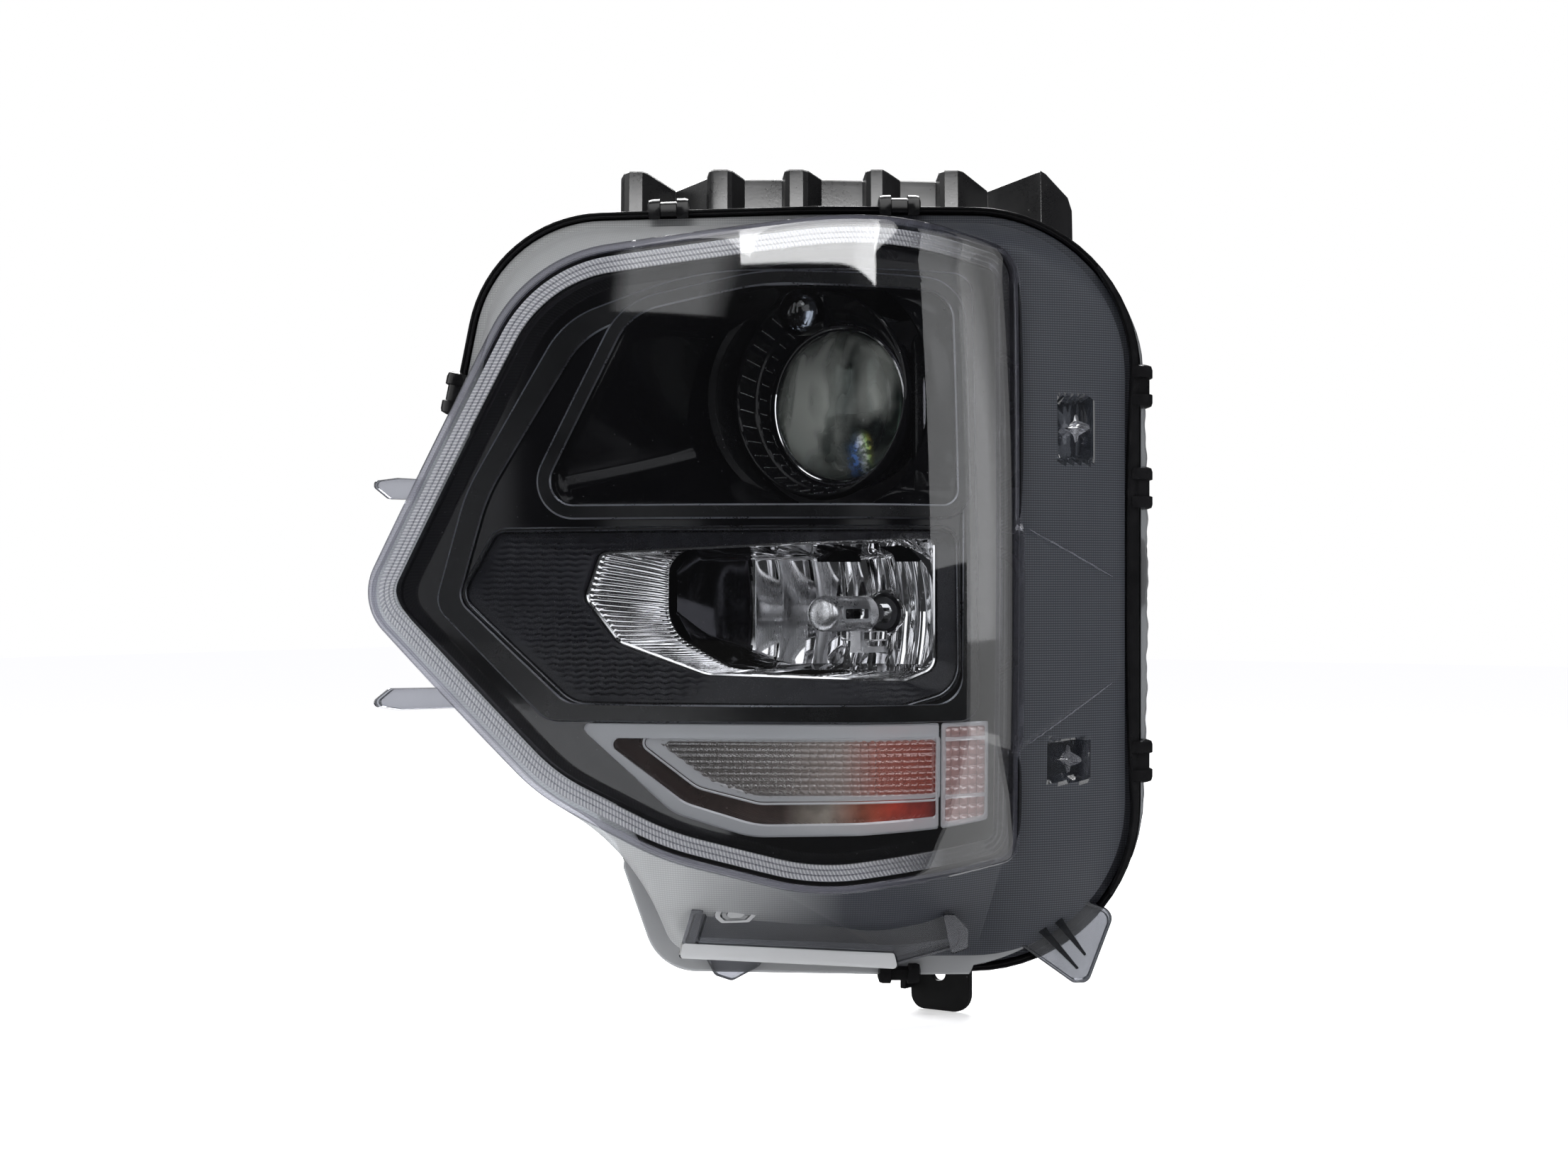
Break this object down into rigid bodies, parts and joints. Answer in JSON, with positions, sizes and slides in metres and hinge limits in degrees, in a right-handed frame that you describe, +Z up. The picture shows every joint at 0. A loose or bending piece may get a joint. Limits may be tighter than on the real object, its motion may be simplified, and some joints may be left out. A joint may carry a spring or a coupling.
{
  "type": "car headlight assembly",
  "caption": "Left-hand car headlight: low-beam projector and high-beam reflector on an aimable carrier, turn signal and side marker, clear wraparound lens, twist-in bulbs and rear covers.",
  "frame": {"origin": "on the rear face of the lower mounting tab, 14 mm below the centre of its bolt hole", "axes": "vehicle axes: -Y forward along the beam, +X outboard (towards the fender of a left-hand lamp), +Z up; the lens face is turned 35 degrees towards +X"},
  "size_m": [0.3295, 0.3275, 0.447],
  "materials": {
    "clear_polycarbonate": "clear, hard-coated outside",
    "black_polypropylene": "fine-grained black",
    "gloss_black_bezel": "gloss black with satin bands",
    "dark_grey_nylon": "moulded",
    "black_butyl_and_rubber": "dull",
    "vapour_chrome": "vapour-deposited aluminium on moulded plastic",
    "dark_steel": "black-finished",
    "cast_aluminium": "as cast, bright inside",
    "zinc_steel": "zinc plated",
    "clear_glass": "polished",
    "amber_glass": "amber dipped",
    "bulb_base_plastic": "moulded",
    "grey_socket_plastic": "moulded",
    "cover_plastic": "moulded",
    "clip_plastic": "moulded"
  },
  "bodies": {
    "lamp_body": {"outer_lens": "clear_polycarbonate", "turn_signal_lens": "clear_polycarbonate", "side_marker_lens": "clear_polycarbonate", "position_lamp_lens": "clear_polycarbonate", "housing": "black_polypropylene", "upper_support_bracket": "black_polypropylene", "main_bezel": "gloss_black_bezel", "upper_chamber_liner": "gloss_black_bezel", "lower_chamber_liner": "gloss_black_bezel", "position_lamp_holder": "gloss_black_bezel", "pivot_bracket_inboard": "dark_grey_nylon", "pivot_bracket_outboard": "dark_grey_nylon", "lens_seal": "black_butyl_and_rubber", "harness_grommet": "black_butyl_and_rubber", "high_beam_flute_trim": "vapour_chrome", "turn_signal_reflector": "vapour_chrome", "side_marker_reflector": "vapour_chrome", "vent_cap_1": "grey_socket_plastic", "vent_cap_2": "grey_socket_plastic", "harness_connector": "grey_socket_plastic", "wiring_harness": "grey_socket_plastic", "lens_clip_1": "clip_plastic", "lens_clip_2": "clip_plastic", "lens_clip_3": "clip_plastic", "lens_clip_4": "clip_plastic", "lens_clip_5": "clip_plastic", "lens_clip_6": "clip_plastic", "lens_clip_7": "clip_plastic"},
    "carrier": {"carrier_frame": "dark_grey_nylon", "projector_lens": "clear_glass", "projector_lens_holder": "dark_steel", "projector_trim_ring": "gloss_black_bezel", "projector_bowl": "cast_aluminium", "cutoff_shield": "dark_steel", "high_beam_reflector": "vapour_chrome", "bulb_shield": "vapour_chrome"},
    "aim_screw": {"adjuster_screw": "zinc_steel"},
    "low_bulb": {"low_beam_bulb": "clear_glass", "low_beam_bulb_base": "bulb_base_plastic"},
    "high_bulb": {"high_beam_bulb": "clear_glass", "high_beam_bulb_base": "bulb_base_plastic"},
    "low_cover": {"low_beam_cover": "cover_plastic"},
    "high_cover": {"high_beam_cover": "cover_plastic"},
    "turn_socket": {"turn_signal_bulb": "amber_glass", "turn_signal_socket": "grey_socket_plastic"},
    "marker_socket": {"side_marker_bulb": "amber_glass", "side_marker_socket": "grey_socket_plastic"}
  },
  "joints": [
    {"name": "beam_tilt", "type": "hinge", "parent": "lamp_body", "child": "carrier", "pos_m": [0.009, -0.062, 0.259], "axis": [1, 0, 0], "range_deg": [-2.5, 2.5]},
    {"name": "aim_screw_turn", "type": "hinge", "parent": "lamp_body", "child": "aim_screw", "pos_m": [-0.086, -0.062, 0.164], "axis": [0, 1, 0], "range_deg": [-1000, 1000]},
    {"name": "low_bulb_twist", "type": "hinge", "parent": "carrier", "child": "low_bulb", "pos_m": [-0.0105, 0.006, 0.312], "axis": [0, 1, 0], "range_deg": [0, 20]},
    {"name": "high_bulb_twist", "type": "hinge", "parent": "carrier", "child": "high_bulb", "pos_m": [-0.004, -0.043, 0.206], "axis": [0, 1, 0], "range_deg": [0, 20]},
    {"name": "low_cover_twist", "type": "hinge", "parent": "lamp_body", "child": "low_cover", "pos_m": [-0.0105, 0.06, 0.312], "axis": [0, 1, 0], "range_deg": [0, 30]},
    {"name": "high_cover_twist", "type": "hinge", "parent": "lamp_body", "child": "high_cover", "pos_m": [-0.004, 0.06, 0.206], "axis": [0, 1, 0], "range_deg": [0, 30]},
    {"name": "turn_socket_twist", "type": "hinge", "parent": "lamp_body", "child": "turn_socket", "pos_m": [0.002, 0.03, 0.126], "axis": [0, 1, 0], "range_deg": [0, 45]},
    {"name": "marker_socket_twist", "type": "hinge", "parent": "lamp_body", "child": "marker_socket", "pos_m": [0.049, 0.04, 0.126], "axis": [0, 1, 0], "range_deg": [0, 45]}
  ],
  "couplings": [
    {"joint": "aim_screw_turn", "follows": "beam_tilt", "ratio": -397.94}
  ]
}
